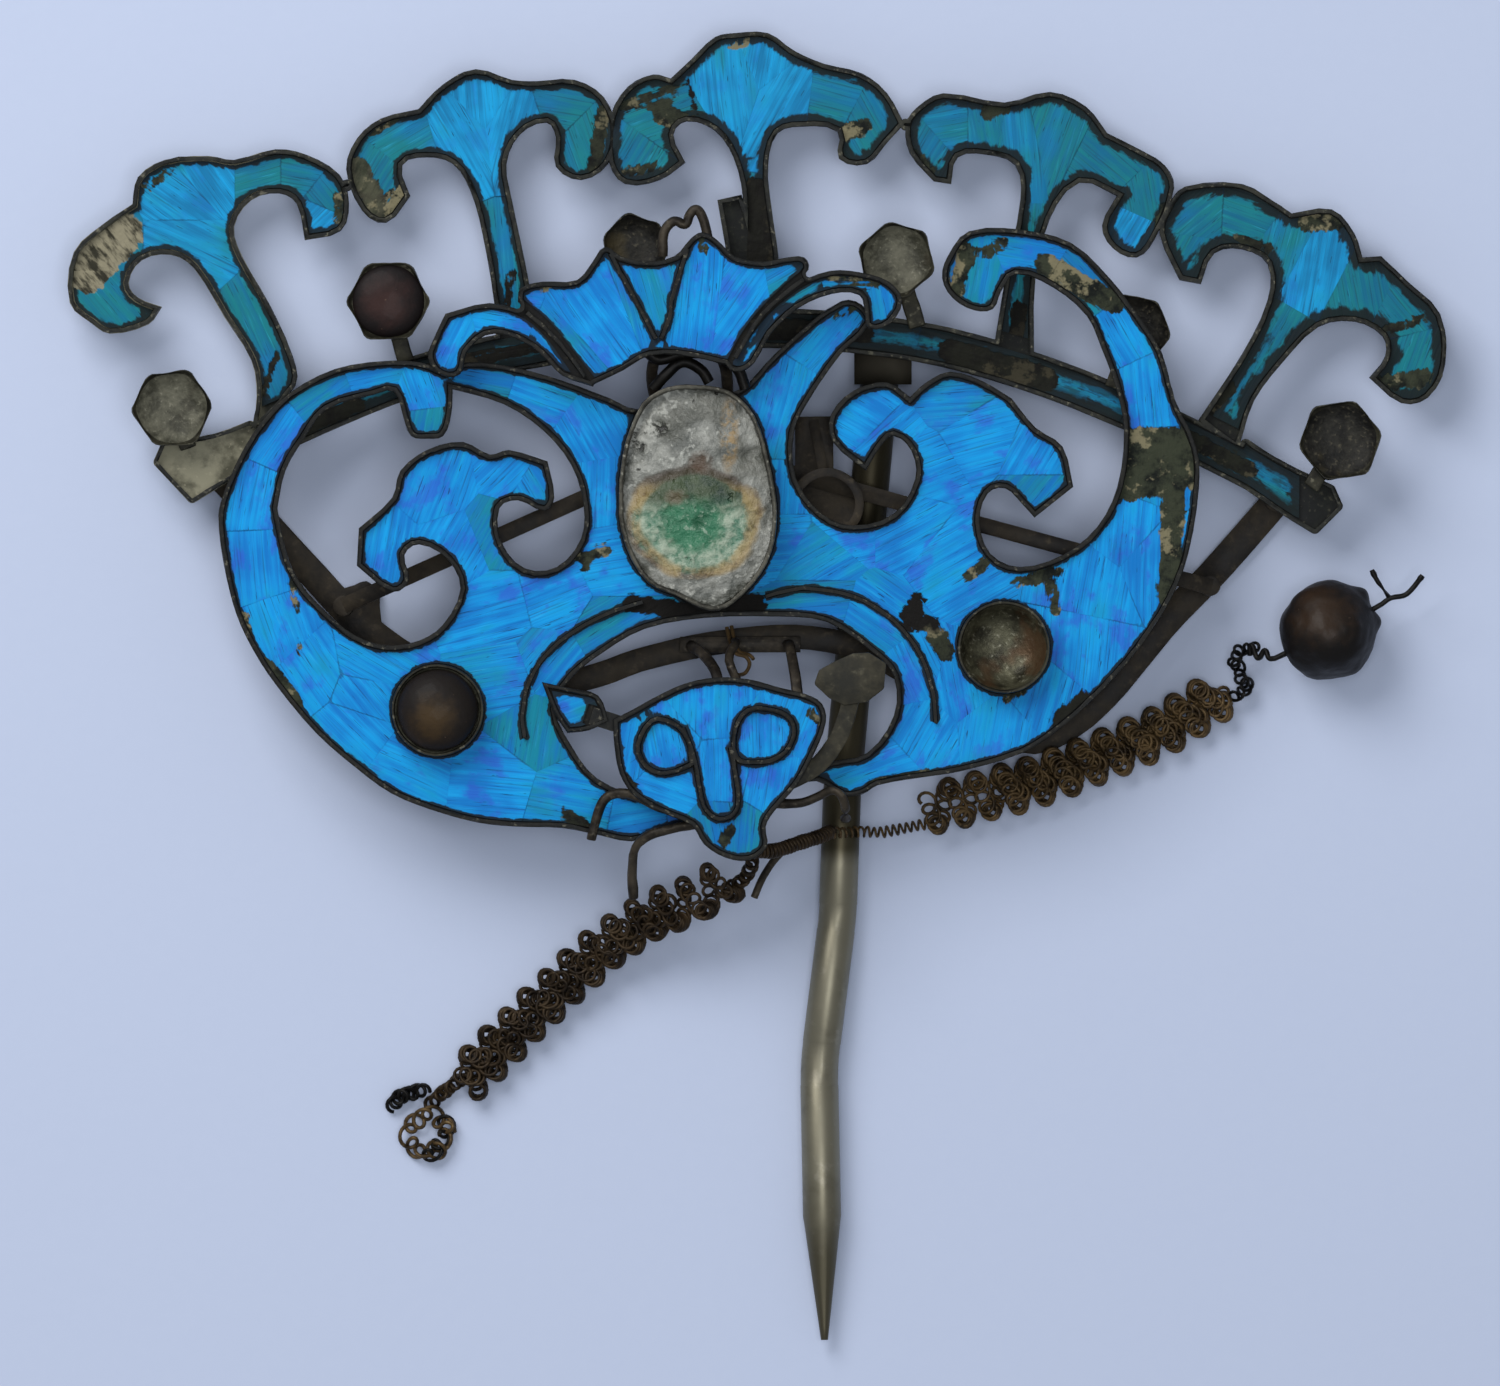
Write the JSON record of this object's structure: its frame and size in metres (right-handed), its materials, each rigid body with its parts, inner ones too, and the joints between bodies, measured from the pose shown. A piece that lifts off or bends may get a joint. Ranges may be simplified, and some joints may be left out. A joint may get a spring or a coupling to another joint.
{
  "type": "openwork hairpin with coiled-wire feelers",
  "caption": "Openwork hairpin: a fan of scrolled heads, a bat-shaped plate with crown and face, feather inlay, stone cups, coiled-wire feelers with a bead, on a long round shank.",
  "frame": {"origin": "middle of the bounding box in plan, on the surface that the ornament lies on", "axes": "+X to the wearer-side right of the fan, +Y from the shank's point to the fan's top, +Z out of the front face"},
  "size_m": [0.1033, 0.098, 0.0121],
  "materials": {
    "pin_metal": "worn gilt, dull",
    "frame_metal": "tarnished, dull",
    "plate_metal": "worn gilt rims, dark between",
    "disc_metal": "bare, dull",
    "cup_metal": "tarnished",
    "bezel_metal": "grey, worn",
    "bezel_paste": "rough crust with stains",
    "feather_front": "silky, barbed",
    "feather_rear": "silky, barbed, dirty",
    "stone": "polished, worn",
    "bead": "dull, worn",
    "coil_wire": "tarnished coiled wire",
    "dark_wire": "blackened"
  },
  "bodies": {
    "root": {"hair_pin": "pin_metal", "back_frame": "frame_metal", "fan_frame": "plate_metal", "fan_feather_1": "feather_rear", "fan_feather_2": "feather_rear", "fan_feather_3": "feather_rear", "fan_feather_4": "feather_rear", "fan_feather_5": "feather_rear", "band_feather": "feather_rear", "band_cup_1": "cup_metal", "band_cup_2": "cup_metal", "band_cup_3": "cup_metal", "band_cup_4": "cup_metal", "band_cup_5": "cup_metal", "band_cup_6": "cup_metal", "fan_stone": "stone", "bat_plate": "plate_metal", "bat_feather_left": "feather_front", "bat_feather_right": "feather_front", "oval_bezel": "bezel_metal", "bezel_paste": "bezel_paste", "wing_cup_left": "cup_metal", "wing_cup_right": "cup_metal", "wing_stone": "stone", "crown_plate": "plate_metal", "crown_feathers": "feather_front", "head_plate": "plate_metal", "head_feathers": "feather_front", "ear_plate": "plate_metal", "ear_feather": "feather_front", "ear_disc": "disc_metal", "head_struts": "frame_metal", "crown_struts": "frame_metal", "crown_loops": "frame_metal", "whisker_left": "frame_metal", "whisker_low": "frame_metal", "whisker_right": "frame_metal", "chin_wrap": "coil_wire", "thin_spring": "coil_wire", "strand_left": "coil_wire", "strand_right": "coil_wire", "end_coil_left": "dark_wire", "end_ring": "coil_wire", "end_coil_right": "dark_wire", "bead": "bead", "bead_wire": "dark_wire"}
  },
  "joints": []
}
